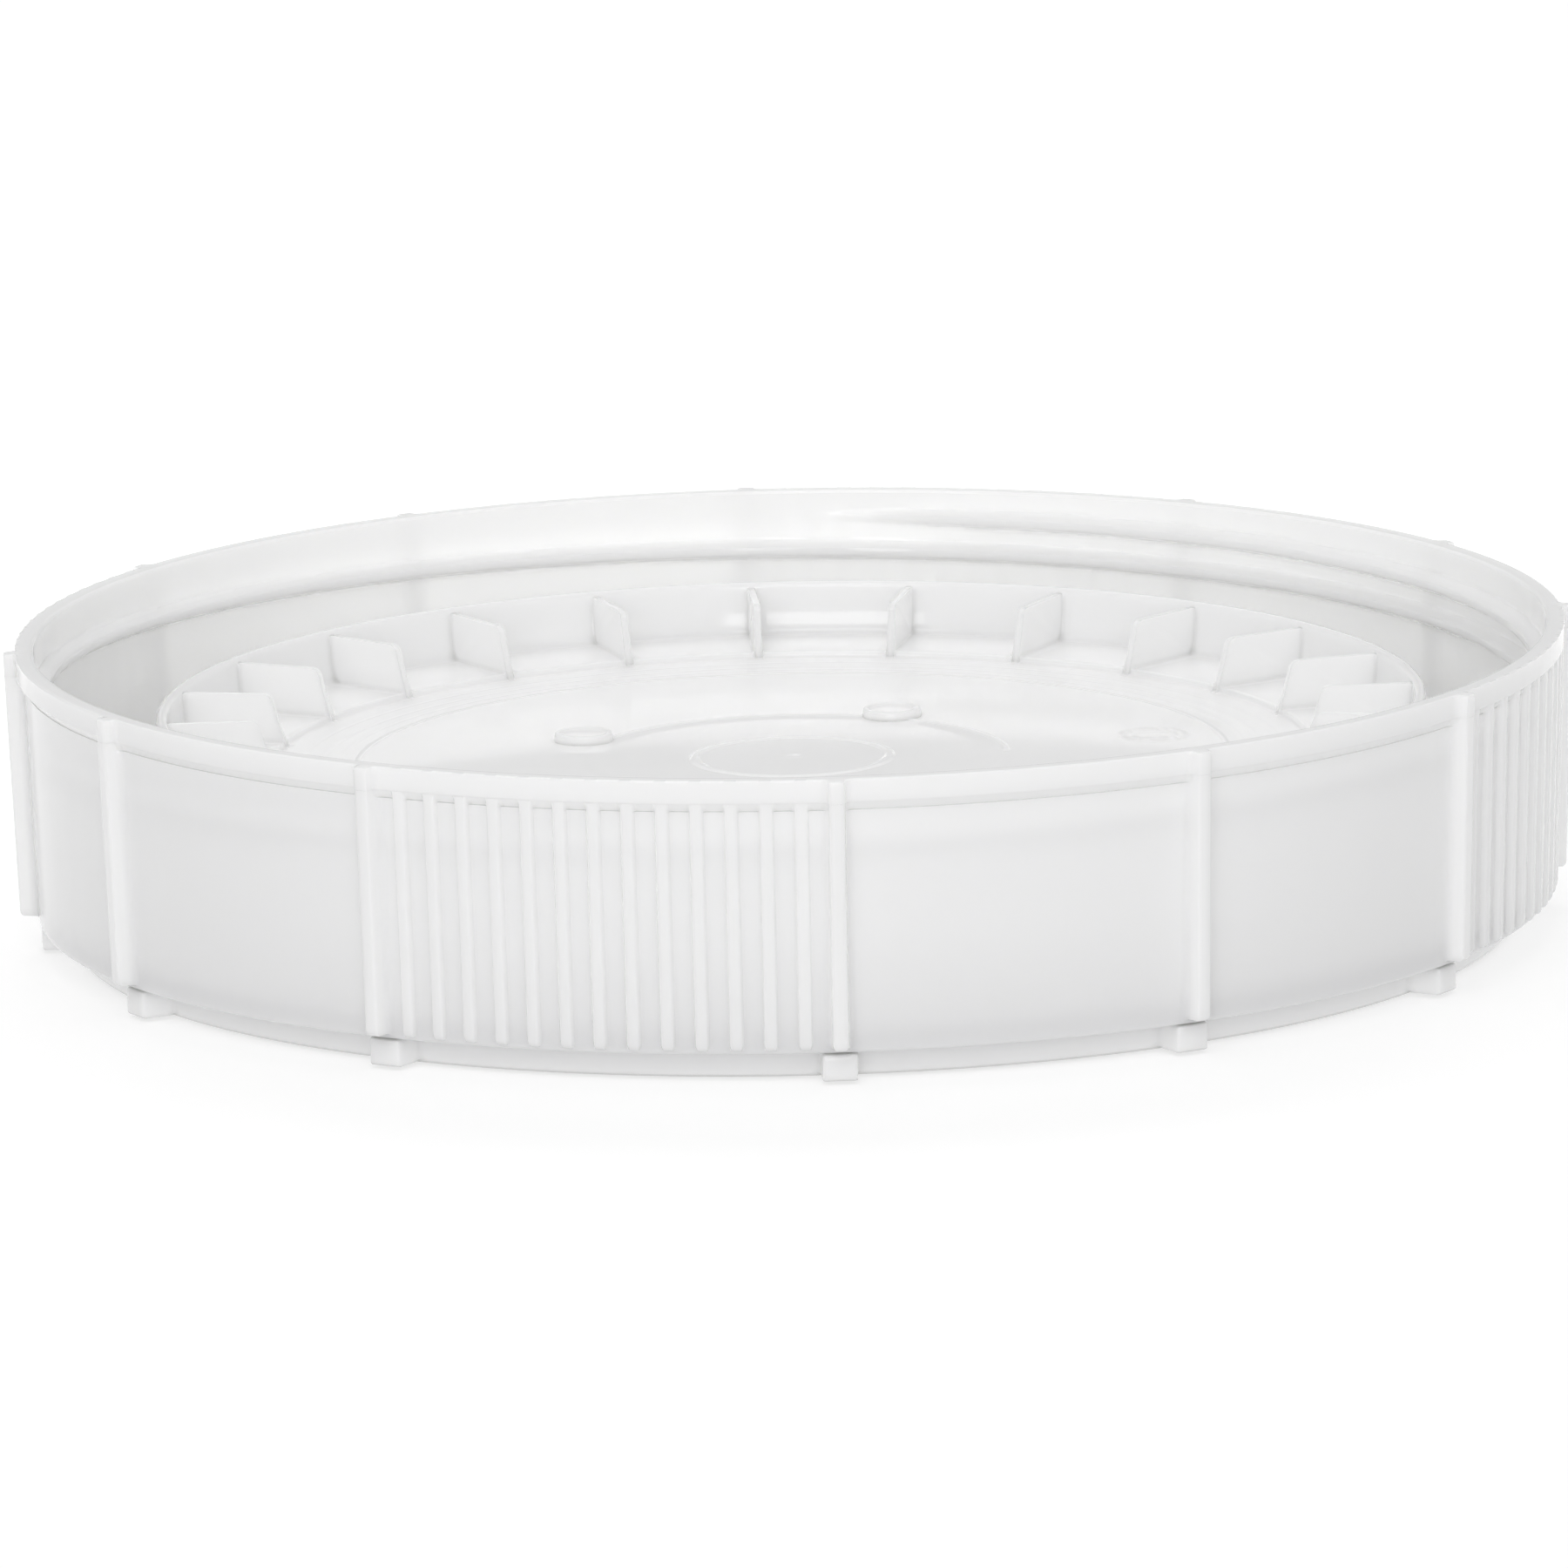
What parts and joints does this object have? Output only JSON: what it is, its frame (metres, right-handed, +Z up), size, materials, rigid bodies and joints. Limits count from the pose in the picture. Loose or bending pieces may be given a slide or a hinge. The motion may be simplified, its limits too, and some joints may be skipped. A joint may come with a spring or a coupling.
{
  "type": "screw-on pail lid",
  "caption": "Wide screw-on lid for a round pail, mouth up: threaded ribbed skirt, stacking ring with lugs, gusseted plug and a loose sealing gasket.",
  "frame": {"origin": "on the lid's axis, in the plane that its stacking ring lies on", "axes": "+Z up out of the threaded mouth, along the axis; -Y towards the viewer, with one large rib 3 degrees to the right of it"},
  "size_m": [0.3244, 0.3244, 0.0625],
  "materials": {
    "natural_plastic": "translucent near-white moulded polypropylene, glossy",
    "gasket_rubber": "matt pale food-grade rubber"
  },
  "bodies": {
    "lid": {"threaded_skirt": "natural_plastic", "stacking_deck": "natural_plastic", "plug_cup": "natural_plastic"},
    "gasket": {"sealing_gasket": "gasket_rubber"}
  },
  "joints": [
    {"name": "gasket_lift", "type": "slide", "parent": "lid", "child": "gasket", "axis": [0, 0, 1], "range_m": [0, 0.06]}
  ]
}
